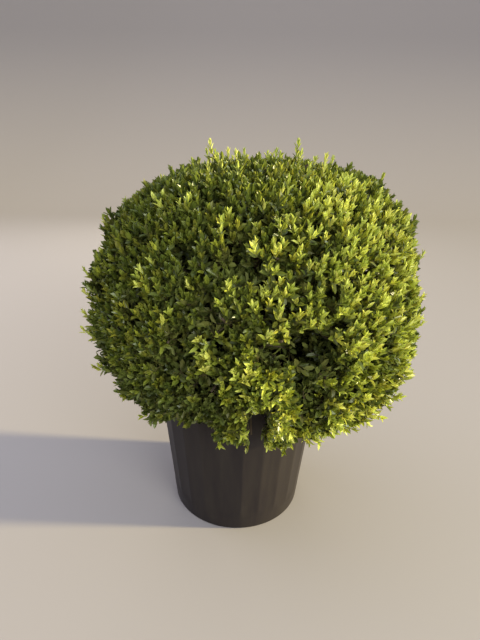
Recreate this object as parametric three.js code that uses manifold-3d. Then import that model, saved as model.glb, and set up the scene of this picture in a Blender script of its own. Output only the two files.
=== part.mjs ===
// A clipped myrtle ball in a round nursery pot, in millimetres, +Z up, front towards -Y.
// The origin is the centre of the pot's flat underside.
// The crown is fourteen masses of foliage round a bare middle. Each keeps to its own slice of the ball,
// and hangs on its own bough, apart from the top one, which stands on the tip of the trunk.

import * as THREE from "three";
import { mergeVertices } from "three/addons/utils/BufferGeometryUtils.js";
import Module from "manifold-3d";

const wasm = await Module();
wasm.setup();

// Pot: a tapered wall with shallow flutes between a plain foot band and a turned-over rim.
const POT_HEIGHT = 490;
const POT_BASE_RADIUS = 210;
const POT_FLARE = 0.099;
const POT_WALL = 5;
const POT_FLOOR = 8;
const POT_EDGE = 5;
const FLUTES = 24;
const FLUTE_DEPTH = 2.6;
// How far the nearest ridge between two flutes stands to the right of the front.
const FLUTE_TURN = THREE.MathUtils.degToRad(4);
const FOOT_BAND = 52;
const FLUTE_FADE = 14;
const RIM_BAND = 27;
const RIM_STEP = 7;
const RIM_ROUND = 4;
const MIX_TOP = 456;
const MIX_EDGE = 6;

// Crown: a ball flattened on top and wider than it is tall, set a little to the right of the pot.
const CROWN_CENTRE = new THREE.Vector3(48, 0, 698);
const CROWN_RADIUS = 480;
const CROWN_UP = 424;
const CROWN_DOWN = 374;
const CROWN_SQUARENESS = 2.41;

// Where the shears left the ball fuller or leaner: azimuth, elevation and spread in degrees, height.
// Azimuth 0 is the front, and 90 is the right.
const SWELLS = [
  [82, 42, 15, 17],
  [-90, 49, 13, -21],
  [70, 12, 15, -15],
  [-76, -3, 17, 17],
  [-58, -26, 14, 3],
  [50, -24, 14, 9],
  [104, 72, 13, 9],
  [-102, 71, 11, 8],
  [165, 20, 20, 8],
  [-150, 45, 18, -9],
];

// Hollows where the crown is open, to the shaded inner stems: azimuth, elevation, radius.
const HOLLOWS = [
  [14, 3, 62],
  [-24, 9, 24],
  [17, 33, 22],
  [-13, -5, 22],
  [-1, -18, 34],
  [-150, 14, 34],
  [118, 6, 30],
];

// Masses of foliage: a top one, a ring on the shoulders and a ring round the waist.
const SHOULDER_ELEVATION = 40;
const SHOULDER_AZIMUTHS = [-41, 31, 103, 175, 247];
const WAIST_ELEVATION = -6;
const WAIST_AZIMUTHS = [-5, 35, 80, 130, 180, 230, 275, 317];

// Shares of the crown's radius, from its centre out to its clipped surface.
const BARE_SHARE = 0.46;
const BOUGH_SHARE = 0.4;
const HUB_SHARE = 0.66;
const CORE_SHARE = 0.88;

const LEAF_GAP = 0.6;
const CORE_GAP = 7;
const BARE_COLUMN = 150;
const CORE_POT_GAP = 8;
const LEAF_POT_GAP = 4;
const CORE_REACH = 300;
const CORE_ROUNDING = 6;
const CORE_ROUGHNESS = 0.03;
const ROUGH_WAVES = 9;
const CORE_SIDES = 13;
const CORE_RINGS = 6;
const MARCH_STEP = 2;

// Twigs, spread evenly over the crown, with two pairs of leaves each.
const TWIGS = 143;
const TWIG_SIDES = 3;
const TWIG_TURN = Math.PI / 6;
const GOLDEN_ANGLE = Math.PI * (3 - Math.sqrt(5));
const TWIG_ROOT = 0.3;
const TWIG_ROOT_RADIUS = 5.5;
const TWIG_TIP_RADIUS = 3;
const TIP_REACH = 1.0;
const TIP_SCATTER = 0.035;
const TALL_ELEVATION = 58;
const TALL_REACH = 26;

const LEAF_LENGTH = 68;
const LEAF_WIDTH = 31;
const LEAF_THICKNESS = 3.4;
const LEAF_START = 0.8;
const LEAF_BELLY = 0.42;
// Pairs of leaves along a twig: distance below the tip, angle from the twig, turn about it.
const LEAF_PAIRS = [
  [6, 36, 0],
  [36, 60, 90],
];
const FURTHEST_LEAF = 50;

// Limbs.
const CLEARANCE = 0.3;
const TRUNK_FOOT_RADIUS = 27;
const TRUNK_TIP_RADIUS = 10;
const TRUNK_SIDES = 12;
const TRUNK_RINGS = 12;
const TRUNK_STEPS = 200;
const FLARE_WIDTH = 15;
const FLARE_HEIGHT = 18;
const FLARE_LOBES = 5;
const FLARE_LOBING = 0.3;
// Where the trunk's middle passes: share of its height, distance to the right, distance to the back.
const TRUNK_BENDS = [
  [0.3, 3, 8],
  [0.65, 26, -8],
];
const BOUGH_ROOT_RADIUS = 12;
const BOUGH_TIP_RADIUS = 6;
const BOUGH_SIDES = 6;
const BOUGH_RINGS = 5;
// How far a bough's bend lies above the straight way to its tip, as a share of it, and out towards its tip.
const BOUGH_RISE = 0.2;
const BOUGH_SPREAD = 0.25;
const STEM_RINGS = 2;
// Heights on the trunk that the boughs of a ring leave from, dealt out so that neighbours lie apart.
const WAIST_FORKS = [520, 596];
const SHOULDER_FORKS = [618, 690];
const FORK_STRIDE = 3;

const LEAF_GREEN = 0x747a28;
const LEAF_ROUGHNESS = 0.6;
const BARK_BROWN = 0x6b5240;
const BARK_ROUGHNESS = 0.9;
const POT_BLACK = 0x35322f;
const POT_ROUGHNESS = 0.55;
const MIX_BROWN = 0x3a2a1e;
const MIX_ROUGHNESS = 1;

const NEARLY_UPRIGHT = 0.9;

// How close corners lie that count as one: those of a plain shape, and those that a join leaves.
const WELD = 0.001;
const SPECK = 0.002;

const UP = new THREE.Vector3(0, 0, 1);
const RIGHT = new THREE.Vector3(1, 0, 0);

// A fraction from 0 to 1 that depends only on the number and the seed.
function chance(number, seed) {
  const wave = Math.sin(number * 12.9898 + seed * 78.233) * 43758.5453;
  return wave - Math.floor(wave);
}

function directionAt(azimuth, elevation) {
  const turn = THREE.MathUtils.degToRad(azimuth);
  const rise = THREE.MathUtils.degToRad(elevation);
  return new THREE.Vector3(
    Math.cos(rise) * Math.sin(turn),
    -Math.cos(rise) * Math.cos(turn),
    Math.sin(rise),
  );
}

// Distance from the crown's centre to its clipped surface along a direction.
function crownRadius(direction) {
  const height = direction.z > 0 ? CROWN_UP : CROWN_DOWN;
  const across = Math.hypot(direction.x, direction.y) / CROWN_RADIUS;
  const along = Math.abs(direction.z) / height;
  const ball = (across ** CROWN_SQUARENESS + along ** CROWN_SQUARENESS) ** (-1 / CROWN_SQUARENESS);
  const swell = SWELLS.reduce((sum, [azimuth, elevation, spread, rise]) => {
    const apart = THREE.MathUtils.radToDeg(direction.angleTo(directionAt(azimuth, elevation)));
    return sum + rise * Math.exp(-((apart / spread) ** 2));
  }, 0);
  return ball + swell;
}

function crownPoint(direction, share) {
  return direction.clone().multiplyScalar(crownRadius(direction) * share).add(CROWN_CENTRE);
}

function potRadius(height) {
  return POT_BASE_RADIUS + POT_FLARE * height;
}

const POT_REACH = potRadius(POT_HEIGHT) + RIM_STEP;

// A mass: a direction from the crown's centre, and a hub that its twigs start from.
function mass(name, azimuth, elevation) {
  const direction = directionAt(azimuth, elevation);
  return { name, direction, hub: crownPoint(direction, HUB_SHARE) };
}

// A ring of masses, each with the height at which its bough leaves the trunk.
function ring(name, azimuths, elevation, [lowest, highest]) {
  const last = azimuths.length - 1;
  return azimuths.map((azimuth, i) => ({
    ...mass(`${name}_${i + 1}`, azimuth, elevation),
    fork: THREE.MathUtils.lerp(lowest, highest, ((i * FORK_STRIDE) % azimuths.length) / last),
  }));
}

const masses = [
  mass("top", 0, 90),
  ...ring("shoulder", SHOULDER_AZIMUTHS, SHOULDER_ELEVATION, SHOULDER_FORKS),
  ...ring("waist", WAIST_AZIMUTHS, WAIST_ELEVATION, WAIST_FORKS),
];

const hollows = HOLLOWS.map(([azimuth, elevation, radius]) => ({
  centre: crownPoint(directionAt(azimuth, elevation), 1),
  radius,
}));

// How far a point lies inside a mass's own slice of the crown.
function insideSlice(own, point) {
  const offset = point.clone().sub(CROWN_CENTRE);
  return masses
    .filter((other) => other !== own)
    .reduce((least, other) => {
      const normal = own.direction.clone().sub(other.direction).normalize();
      return Math.min(least, offset.dot(normal));
    }, Infinity);
}

function clearOfPot(point, gap) {
  const above = point.z > POT_HEIGHT + gap;
  const outside = Math.hypot(point.x, point.y) > POT_REACH + gap;
  return above || outside;
}

// Whether the dense core of a mass may fill a point.
function coreMayFill(own, point) {
  const offset = point.clone().sub(CROWN_CENTRE);
  const share = offset.length() / crownRadius(offset.clone().normalize());
  const overTrunk = point.z < CROWN_CENTRE.z && Math.hypot(point.x, point.y) < BARE_COLUMN;
  return (
    share > BARE_SHARE
    && share < CORE_SHARE
    && !overTrunk
    && insideSlice(own, point) > CORE_GAP
    && clearOfPot(point, CORE_POT_GAP)
    && hollows.every(({ centre, radius }) => centre.distanceTo(point) > radius)
  );
}

// Whether a corner of a leaf or twig may lie at a point.
function leafMayReach(own, point) {
  return (
    insideSlice(own, point) > LEAF_GAP
    && clearOfPot(point, LEAF_POT_GAP)
    && hollows.every(({ centre, radius }) => centre.distanceTo(point) > radius * HUB_SHARE)
  );
}

function weld(geometry) {
  geometry.deleteAttribute("normal");
  geometry.deleteAttribute("uv");
  return mergeVertices(geometry, WELD);
}

function toSolid(geometry) {
  const welded = weld(geometry.clone());
  return new wasm.Manifold(
    new wasm.Mesh({
      numProp: 3,
      vertProperties: new Float32Array(welded.attributes.position.array),
      triVerts: new Uint32Array(welded.index.array),
    }),
  );
}

// Corners that all but touch become one, and the faces that this flattens are left out.
function withoutSpecks(geometry) {
  const merged = mergeVertices(geometry, SPECK);
  const corner = merged.index.array;
  const kept = [];
  for (let i = 0; i < corner.length; i += 3) {
    const face = [corner[i], corner[i + 1], corner[i + 2]];
    if (new Set(face).size === 3) {
      kept.push(...face);
    }
  }
  return merged.setIndex(kept);
}

// The outer skin of a solid: sealed hollows are filled and loose scraps dropped.
function toGeometry(solid) {
  const largest = solid.decompose().reduce((a, b) => (b.volume() > a.volume() ? b : a));
  const mesh = largest.getMesh();
  const geometry = new THREE.BufferGeometry();
  geometry.setAttribute("position", new THREE.BufferAttribute(mesh.vertProperties, 3));
  geometry.setIndex(new THREE.BufferAttribute(mesh.triVerts, 1));
  return withoutSpecks(geometry);
}

function moveEach(geometry, place) {
  const positions = geometry.attributes.position;
  const point = new THREE.Vector3();
  for (let i = 0; i < positions.count; i += 1) {
    point.fromBufferAttribute(positions, i);
    const placed = place(point);
    positions.setXYZ(i, placed.x, placed.y, placed.z);
  }
  return geometry;
}

// A frame with its third axis along a direction.
function frameAlong(direction) {
  const helper = Math.abs(direction.z) < NEARLY_UPRIGHT ? UP : RIGHT;
  const side = new THREE.Vector3().crossVectors(helper, direction).normalize();
  const front = new THREE.Vector3().crossVectors(direction, side);
  return { side, front, along: direction.clone() };
}

function spun(frame, angle) {
  return {
    side: frame.side.clone().applyAxisAngle(frame.along, angle),
    front: frame.front.clone().applyAxisAngle(frame.along, angle),
    along: frame.along,
  };
}

function inFrame(frame, origin, across, deep, along) {
  return origin.clone()
    .addScaledVector(frame.side, across)
    .addScaledVector(frame.front, deep)
    .addScaledVector(frame.along, along);
}

// A limb along a curve, with flat ends square to it.
function limb(curve, radiusAt, sides, rings) {
  const shape = new THREE.CylinderGeometry(1, 1, 1, sides, rings);
  return moveEach(shape, (point) => {
    const part = point.y + 0.5;
    const frame = frameAlong(curve.getTangentAt(part));
    const radius = radiusAt(part, Math.atan2(point.z, point.x));
    return inFrame(frame, curve.getPointAt(part), -point.x * radius, point.z * radius, 0);
  });
}

// Pot.
function fluteShare(height) {
  const rimFoot = POT_HEIGHT - RIM_BAND;
  const low = (height - FOOT_BAND) / FLUTE_FADE;
  const high = (rimFoot - height) / FLUTE_FADE;
  return THREE.MathUtils.clamp(Math.min(low, high), 0, 1);
}

function potProfile() {
  const rimFoot = POT_HEIGHT - RIM_BAND;
  const outer = [
    [POT_BASE_RADIUS - POT_EDGE, 0],
    [potRadius(POT_EDGE), POT_EDGE],
    [potRadius(FOOT_BAND), FOOT_BAND],
    [potRadius(FOOT_BAND + FLUTE_FADE), FOOT_BAND + FLUTE_FADE],
    [potRadius(rimFoot - FLUTE_FADE), rimFoot - FLUTE_FADE],
    [potRadius(rimFoot), rimFoot],
    [potRadius(rimFoot) + RIM_STEP, rimFoot + RIM_ROUND / 2],
    [POT_REACH, POT_HEIGHT - RIM_ROUND],
    [POT_REACH - RIM_ROUND, POT_HEIGHT],
  ];
  const inner = [
    [potRadius(POT_HEIGHT) - POT_WALL + RIM_ROUND / 2, POT_HEIGHT],
    [potRadius(POT_HEIGHT) - POT_WALL, POT_HEIGHT - RIM_ROUND],
    [potRadius(POT_FLOOR) - POT_WALL, POT_FLOOR],
  ];
  return [[0, 0], ...outer, ...inner, [0, POT_FLOOR]].map(([r, z]) => new THREE.Vector2(r, z));
}

function uprightLathe(profile) {
  return new THREE.LatheGeometry(profile, FLUTES * 2).rotateX(Math.PI / 2);
}

// Every second edge of the lathe is the floor of a flute.
function potShape() {
  return moveEach(uprightLathe(potProfile()), (point) => {
    const radius = Math.hypot(point.x, point.y);
    const onWall = radius > potRadius(point.z) - POT_WALL / 2;
    const turn = Math.atan2(point.y, point.x) * FLUTES;
    const depth = onWall ? FLUTE_DEPTH * fluteShare(point.z) * (1 - Math.cos(turn)) / 2 : 0;
    return point.multiply(new THREE.Vector3(1 - depth / (radius || 1), 1 - depth / (radius || 1), 1));
  });
}

function mixShape() {
  const low = POT_FLOOR + CLEARANCE;
  const wall = POT_WALL + CLEARANCE;
  return uprightLathe([
    new THREE.Vector2(0, low),
    new THREE.Vector2(potRadius(low) - wall, low),
    new THREE.Vector2(potRadius(MIX_TOP - MIX_EDGE) - wall, MIX_TOP - MIX_EDGE),
    new THREE.Vector2(potRadius(MIX_TOP) - wall - 2 * MIX_EDGE, MIX_TOP),
    new THREE.Vector2(0, MIX_TOP),
  ]);
}

// Trunk: from a flat cut on the potting mix to its tip under the top mass.
const trunkFoot = MIX_TOP + CLEARANCE;
const trunkTip = crownPoint(UP, BOUGH_SHARE);
const trunkCurve = new THREE.CatmullRomCurve3([
  new THREE.Vector3(0, 0, trunkFoot),
  ...TRUNK_BENDS.map(([share, lean, sweep]) => (
    new THREE.Vector3(lean, sweep, THREE.MathUtils.lerp(trunkFoot, trunkTip.z, share))
  )),
  trunkTip,
]);

function trunkShape(grown) {
  const length = trunkCurve.getLength();
  const radiusAt = (part, turn) => {
    const flare = FLARE_WIDTH * Math.exp((-part * length) / FLARE_HEIGHT);
    const lobe = 1 + FLARE_LOBING * Math.cos(FLARE_LOBES * turn);
    return THREE.MathUtils.lerp(TRUNK_FOOT_RADIUS, TRUNK_TIP_RADIUS, part) + flare * lobe + grown;
  };
  const shape = limb(trunkCurve, radiusAt, TRUNK_SIDES, TRUNK_RINGS);
  return moveEach(shape, (point) => {
    if (point.z < trunkFoot + CLEARANCE) {
      point.z = trunkFoot;
    }
    return point;
  });
}

// The point on the trunk's middle at a height.
function trunkAt(height) {
  const points = trunkCurve.getSpacedPoints(TRUNK_STEPS);
  return points.find((point) => point.z >= height);
}

// Boughs: from the side of the trunk to just inside the mass that each one carries.
function boughCurve(own, fork) {
  const start = trunkAt(fork);
  const end = crownPoint(own.direction, BOUGH_SHARE);
  const bend = start.clone().lerp(end, 0.5);
  bend.z += start.distanceTo(end) * BOUGH_RISE;
  bend.lerp(new THREE.Vector3(end.x, end.y, bend.z), BOUGH_SPREAD);
  return new THREE.QuadraticBezierCurve3(start, bend, end);
}

const grownTrunk = toSolid(trunkShape(CLEARANCE));

function boughShape(curve) {
  const radiusAt = (part) => THREE.MathUtils.lerp(BOUGH_ROOT_RADIUS, BOUGH_TIP_RADIUS, part);
  const whole = toSolid(limb(curve, radiusAt, BOUGH_SIDES, BOUGH_RINGS));
  return toGeometry(whole.subtract(grownTrunk));
}

// The stem of a mass: from its bough's flat tip on to its hub.
function stemShape(own, from, heading, radius) {
  const start = from.clone().addScaledVector(heading, CLEARANCE);
  const middle = start.clone().addScaledVector(heading, start.distanceTo(own.hub) / 2);
  const curve = new THREE.QuadraticBezierCurve3(start, middle, own.hub);
  return limb(curve, () => radius, BOUGH_SIDES, STEM_RINGS);
}

// The core of a mass: as far from the hub as the mass's own space goes, with its corners rounded.
function coreShape(own) {
  const shape = new THREE.SphereGeometry(1, CORE_SIDES, CORE_RINGS);
  const frame = frameAlong(own.direction);
  return moveEach(shape, (point) => {
    const heading = inFrame(frame, new THREE.Vector3(), -point.x, point.z, point.y).normalize();
    let far = 0;
    while (coreMayFill(own, own.hub.clone().addScaledVector(heading, far + MARCH_STEP))) {
      far += MARCH_STEP;
    }
    const rounded = (far ** -CORE_ROUNDING + CORE_REACH ** -CORE_ROUNDING) ** (-1 / CORE_ROUNDING);
    const rough = 1 - CORE_ROUGHNESS * (1 + Math.sin(ROUGH_WAVES * heading.x) * Math.sin(ROUGH_WAVES * heading.z));
    return own.hub.clone().addScaledVector(heading, rounded * rough);
  });
}

// The room that cores leave round the pot and over it.
const potRoom = toSolid(new THREE.LatheGeometry([
  new THREE.Vector2(0, 0),
  new THREE.Vector2(POT_REACH + CORE_POT_GAP, 0),
  new THREE.Vector2(POT_REACH + CORE_POT_GAP, POT_HEIGHT + CORE_POT_GAP),
  new THREE.Vector2(0, POT_HEIGHT + CORE_POT_GAP),
], FLUTES).rotateX(Math.PI / 2));

// A leaf of eight faces, its root at the origin and its tip along +X.
function leafShape() {
  const shape = new THREE.OctahedronGeometry(1);
  const half = LEAF_LENGTH / 2;
  return moveEach(shape, (point) => {
    const belly = point.x === 0 ? LEAF_LENGTH * LEAF_BELLY : half + point.x * half;
    return new THREE.Vector3(belly, point.y * LEAF_WIDTH / 2, point.z * LEAF_THICKNESS / 2);
  });
}

function corners(geometry) {
  const positions = geometry.attributes.position;
  return Array.from({ length: positions.count }, (_, i) => new THREE.Vector3().fromBufferAttribute(positions, i));
}

// One leaf on a twig: set out from the twig's line by an angle, towards one side of it.
function leafOnTwig(frame, foot, angle, turn) {
  const sideways = inFrame(frame, new THREE.Vector3(), Math.cos(turn), Math.sin(turn), 0);
  const heading = frame.along.clone().multiplyScalar(Math.cos(angle)).addScaledVector(sideways, Math.sin(angle));
  const across = new THREE.Vector3().crossVectors(frame.along, sideways);
  const normal = new THREE.Vector3().crossVectors(heading, across);
  const start = foot.clone().addScaledVector(heading, LEAF_START);
  return leafShape().applyMatrix4(new THREE.Matrix4().makeBasis(heading, across, normal).setPosition(start));
}

function twigShape(frame, root, tip) {
  const length = root.distanceTo(tip);
  const sides = [TWIG_SIDES, 1, false, TWIG_TURN];
  const shape = new THREE.CylinderGeometry(TWIG_TIP_RADIUS, TWIG_ROOT_RADIUS, length, ...sides);
  return moveEach(shape, (point) => inFrame(frame, root, -point.x, point.z, point.y + length / 2));
}

// The aims of all the twigs, spread evenly over the crown, each with the mass whose slice it is in.
const aims = Array.from({ length: TWIGS }, (_, number) => {
  const height = 1 - (2 * number + 1) / TWIGS;
  const turn = number * GOLDEN_ANGLE;
  const across = Math.sqrt(1 - height * height);
  const direction = new THREE.Vector3(across * Math.cos(turn), across * Math.sin(turn), height);
  const own = masses.reduce((a, b) => (b.direction.dot(direction) > a.direction.dot(direction) ? b : a));
  return { number, direction, own };
});

// The pieces of one twig with its leaves, leaving out what would leave the mass's own space.
function sprayPieces({ number, direction, own }) {
  const scatter = TIP_SCATTER * (2 * chance(number, 1) - 1);
  const elevation = THREE.MathUtils.radToDeg(Math.asin(direction.z));
  const tall = elevation > TALL_ELEVATION ? TALL_REACH * chance(number, 2) : 0;
  const furthest = crownPoint(direction, TIP_REACH + scatter).addScaledVector(direction, tall);
  const heading = furthest.clone().sub(own.hub).normalize();
  const frame = spun(frameAlong(heading), 2 * Math.PI * chance(number, 3));
  const tip = furthest.clone().addScaledVector(heading, -FURTHEST_LEAF);
  const root = own.hub.clone().lerp(tip, TWIG_ROOT);
  const twig = twigShape(frame, root, tip);
  if (!corners(twig).every((corner) => leafMayReach(own, corner))) {
    return [];
  }
  const leaves = LEAF_PAIRS.flatMap(([below, angle, turn]) => {
    const foot = tip.clone().addScaledVector(heading, -below);
    return [0, Math.PI].map((opposite) => leafOnTwig(
      frame,
      foot,
      THREE.MathUtils.degToRad(angle),
      THREE.MathUtils.degToRad(turn) + opposite,
    ));
  });
  return [twig, ...leaves.filter((leaf) => corners(leaf).every((corner) => leafMayReach(own, corner)))];
}

// A whole mass, with its stem going on from the tip of the limb that carries it.
function massShape(own, carrier, stemRadius) {
  const pieces = aims.filter((aim) => aim.own === own).flatMap(sprayPieces);
  const stem = toSolid(stemShape(own, carrier.getPointAt(1), carrier.getTangentAt(1), stemRadius));
  const core = toSolid(coreShape(own)).subtract(potRoom).add(stem);
  const solid = pieces.reduce((sum, piece) => sum.add(toSolid(piece)), core);
  return toGeometry(solid);
}

// Assembly.
function material(color, roughness) {
  return new THREE.MeshStandardMaterial({ color, roughness, metalness: 0 });
}

const group = new THREE.Group();

function place(name, geometry, finish) {
  const mesh = new THREE.Mesh(geometry, finish);
  mesh.name = name;
  group.add(mesh);
}

const bark = material(BARK_BROWN, BARK_ROUGHNESS);
const foliage = material(LEAF_GREEN, LEAF_ROUGHNESS);

place("pot", potShape().rotateZ(FLUTE_TURN), material(POT_BLACK, POT_ROUGHNESS));
place("potting_mix", mixShape().rotateZ(FLUTE_TURN), material(MIX_BROWN, MIX_ROUGHNESS));
place("trunk", trunkShape(0), bark);

const [top, ...carried] = masses;
place("foliage_top", massShape(top, trunkCurve, TRUNK_TIP_RADIUS), foliage);

carried.forEach((own) => {
  const curve = boughCurve(own, own.fork);
  place(`bough_${own.name}`, boughShape(curve), bark);
  place(`foliage_${own.name}`, massShape(own, curve, BOUGH_TIP_RADIUS), foliage);
});

export default group;
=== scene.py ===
"""A clipped myrtle ball in a round nursery pot, in metres, +Z up, front towards -Y."""

import math
from typing import NamedTuple

import bmesh
import bpy
import numpy as np
from mathutils import Matrix, Vector


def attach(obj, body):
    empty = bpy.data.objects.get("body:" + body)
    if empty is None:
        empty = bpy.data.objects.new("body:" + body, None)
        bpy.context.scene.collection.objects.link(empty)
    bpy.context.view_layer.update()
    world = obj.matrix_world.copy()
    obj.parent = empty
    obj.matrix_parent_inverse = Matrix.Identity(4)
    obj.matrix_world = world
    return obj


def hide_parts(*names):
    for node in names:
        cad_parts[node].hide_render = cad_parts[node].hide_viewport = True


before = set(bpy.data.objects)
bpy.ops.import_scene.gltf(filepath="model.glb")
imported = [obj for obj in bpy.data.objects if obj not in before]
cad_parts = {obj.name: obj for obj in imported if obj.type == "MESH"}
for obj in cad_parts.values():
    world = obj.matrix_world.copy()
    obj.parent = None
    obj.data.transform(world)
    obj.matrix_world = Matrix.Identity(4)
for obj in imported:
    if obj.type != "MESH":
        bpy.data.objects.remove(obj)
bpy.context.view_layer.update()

# Camera: where the photo was taken from, its focal length in pixels and its tilt.
CAMERA_PLACE = (0.0, -1.367, 1.2)
CAMERA_PITCH_DOWN = math.radians(22.6)
CAMERA_ROLL = math.radians(1.3)
FOCAL_PIXELS = 480.7
IMAGE_HEIGHT = 640
SENSOR = 36.0

# Pot.
POT_HEIGHT = 0.490
POT_BASE_RADIUS = 0.210
POT_FLARE = 0.099
POT_WALL = 0.005
POT_FLOOR = 0.008
POT_EDGE = 0.005
FLUTES = 24
FLUTE_DEPTH = 0.0026
FLUTE_TURN = math.radians(4)
FOOT_BAND = 0.052
FLUTE_FADE = 0.014
RIM_BAND = 0.027
RIM_STEP = 0.007
RIM_ROUND = 0.004
POT_STEPS = 288
WALL_STEPS = 40
ROUND_STEPS = 6
SAME_POINT = 1e-6
MIX_TOP = 0.456
MIX_EDGE = 0.006
MIX_STEPS = 160
MIX_RINGS = 60
CRUMB_DEPTH = 0.003
# Crumbs of the potting mix: waves, in radians a metre, and their share.
CRUMBS = [(90, 0.5), (230, 0.3), (520, 0.2)]

# Crown: the same ball, masses and hollows as the solids.
CROWN_CENTRE = np.array([0.048, 0.0, 0.698])
CROWN_RADIUS = 0.480
CROWN_UP = 0.424
CROWN_DOWN = 0.374
CROWN_SQUARENESS = 2.41
# Azimuths, elevations and spreads are in degrees. Azimuth 0 is the front, 90 the right.
# Swells and dents: azimuth, elevation, spread, height.
SWELLS = [
    (82, 42, 15, 0.017), (-90, 49, 13, -0.021), (70, 12, 15, -0.015), (-76, -3, 17, 0.017),
    (-58, -26, 14, 0.003), (50, -24, 14, 0.009), (104, 72, 13, 0.009), (-102, 71, 11, 0.008),
    (165, 20, 20, 0.008), (-150, 45, 18, -0.009),
]
# Round hollows in the surface: azimuth, elevation, radius. Leaves keep out of most of each.
HOLLOWS = [
    (14, 3, 0.062), (-24, 9, 0.024), (17, 33, 0.022), (-13, -5, 0.022), (-1, -18, 0.034),
    (-150, 14, 0.034), (118, 6, 0.030),
]
HOLLOW_SHARE = 0.95
# Pockets clear of leaves that widen and deepen the hollow in front: azimuth, elevation, radius, depth.
POCKETS = [
    (0.5, 6, 0.014, 0.08), (3, 4, 0.021, 0.10), (7, 4, 0.021, 0.12), (9.5, 4, 0.021, 0.11),
    (13, 7.5, 0.023, 0.12), (17, 6, 0.026, 0.125), (20.5, 4, 0.019, 0.10), (14, 2, 0.021, 0.11),
    (19, 1, 0.018, 0.09), (11.5, -3, 0.015, 0.08), (13.5, -7.5, 0.017, 0.08),
    (16, -11, 0.015, 0.07), (18.5, -14, 0.012, 0.06), (-14, -9, 0.012, 0.05),
]
# Small dark gaps among the tufts in the front, made as pockets too: azimuth, elevation, radius.
GAPS = [
    (-29, 31, 0.015), (-17.5, 29, 0.015), (-10, 27.5, 0.017), (-3.5, 28.5, 0.017),
    (-8, 32.5, 0.012), (-16, 19, 0.014), (-15, 14, 0.018), (-22, 10.5, 0.015),
    (-26.5, 3.5, 0.015), (-43, 11.5, 0.015), (-12.5, 5, 0.014), (-31.5, -3.5, 0.015),
    (-20, -7.5, 0.016), (2, 15, 0.014), (7.5, 19, 0.011), (17.5, 33.5, 0.013),
    (14.5, 25, 0.012), (24, 12, 0.011), (35, 26, 0.013), (45.5, 31.5, 0.012), (31, 17, 0.011),
    (35.5, 7, 0.012), (43, 1.5, 0.013), (47, 23.5, 0.012), (51, 14, 0.012),
]
GAP_DEPTH = 0.060
# Notches in the outline seen from the front, each a row of pockets: the azimuth and elevation of
# the first and of the last, radius, depth.
NOTCHES = [
    ((62, 19.5), (94, 10), 0.013, 0.028),
    ((66, 4.5), (86, -1.5), 0.010, 0.022),
    ((-64, 7.3), (-90, -2.5), 0.010, 0.024),
    ((-64, 0.7), (-90, -10), 0.010, 0.024),
    ((-62, -9), (-88, -21), 0.012, 0.024),
    ((-56, -15.5), (-78, -27), 0.011, 0.022),
]
POCKETS_A_NOTCH = 6
# Slots between the tufts that hang over the rim: azimuth round the pot, heading, half width, height.
# Each is open below its height, which rises outwards.
SLOTS = [
    (8.7, 3, 0.021, 0.487), (-17, -9, 0.030, 0.448), (-31, -20, 0.030, 0.440),
    (27, 25, 0.040, 0.350), (72, 72, 0.014, 0.430), (104, 100, 0.012, 0.460),
    (139, 139, 0.015, 0.440), (171, 174, 0.012, 0.480), (208, 205, 0.014, 0.450),
    (249, 252, 0.013, 0.470), (288, 286, 0.015, 0.440),
]
SLOT_RADIUS = 0.300
SLOT_RISE = 0.66
# Dimples in the front, where shoots end deeper and their leaves are darker as painted shade:
# azimuth, elevation, radius.
FRONT_DIMPLES = [
    (-14, 13, 0.034), (-17, 19, 0.024), (-10, 28, 0.020), (-3, 28, 0.024), (-8, 14, 0.018),
    (9, 10, 0.030), (14, -8, 0.034), (16, -15, 0.026), (2, 4, 0.026), (-15, -6, 0.030),
    (-24, -1, 0.030), (-22, 49, 0.022), (-43, 9, 0.028), (-38, -3, 0.024), (28, 23, 0.020),
    (6, 29, 0.018), (11, 26, 0.020), (19, 19, 0.022), (33, 7, 0.020), (23, -2, 0.022),
    (12, 45, 0.020), (-3, 43, 0.018), (-8, 36, 0.018), (19, 41, 0.018), (34, 39, 0.018),
    (-25, 30, 0.020), (-44, 30, 0.018), (-54, 17, 0.022), (-27, -24, 0.030), (-16, -28, 0.026),
    (21, -22, 0.024), (21, -10, 0.028), (-14, -10, 0.026), (-21, -8, 0.026), (-29, -7, 0.028),
    (15, -21, 0.024), (-23, 9, 0.028), (-31, -1, 0.028), (-72, 22, 0.026), (-70, 10.5, 0.022),
    (-76, -2.5, 0.022), (-68, -10, 0.026), (-62, -21, 0.026),
]
# More dimples, dealt out over the ball and used where the front ends, past an azimuth or above a
# height: how many, jitter, smallest and largest radius.
MORE_DIMPLES = 90
DIMPLE_JITTER = 0.6
DIMPLE_RADII = (0.016, 0.032)
FRONT_AZIMUTH = 55
FRONT_TOP = 0.85
# How deep a dimple is, how steep, and how far it reaches past its radius.
DIMPLE_DEPTH = 0.050
DIMPLE_STEEPNESS = 1.4
DIMPLE_REACH = 1.25
# Where the young shoots are thickest in the front: azimuth, elevation, spread.
FLUSHES = [
    (-20, 24, 5), (-9, 24, 5), (-16, 6, 4), (4, 9, 4), (-3, 2, 5), (3, -5, 5), (6, -14, 6),
    (0, -22, 8), (2, -19, 6), (-16, 1, 4), (-4, -15, 6), (15, 38, 6), (19, 28, 5), (-7, -12, 5),
    (-3, 36, 5), (10, 34, 5), (15, 14, 5), (5, 17, 5), (10, 18, 5), (26, 15, 11), (15, 23, 4),
    (30, 46, 11), (45, 25, 14), (26, 5, 5), (-22, 32, 3), (-35, 27, 3), (-12.5, 24, 2.5),
    (-26, 39, 3), (-15, 40.5, 3), (-2.5, 36, 4), (3, 31, 4), (-14.5, 16.5, 2.5), (21, 9, 4),
    (34, 9, 8), (30, 0, 6), (-34, 47, 9),
]
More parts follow.
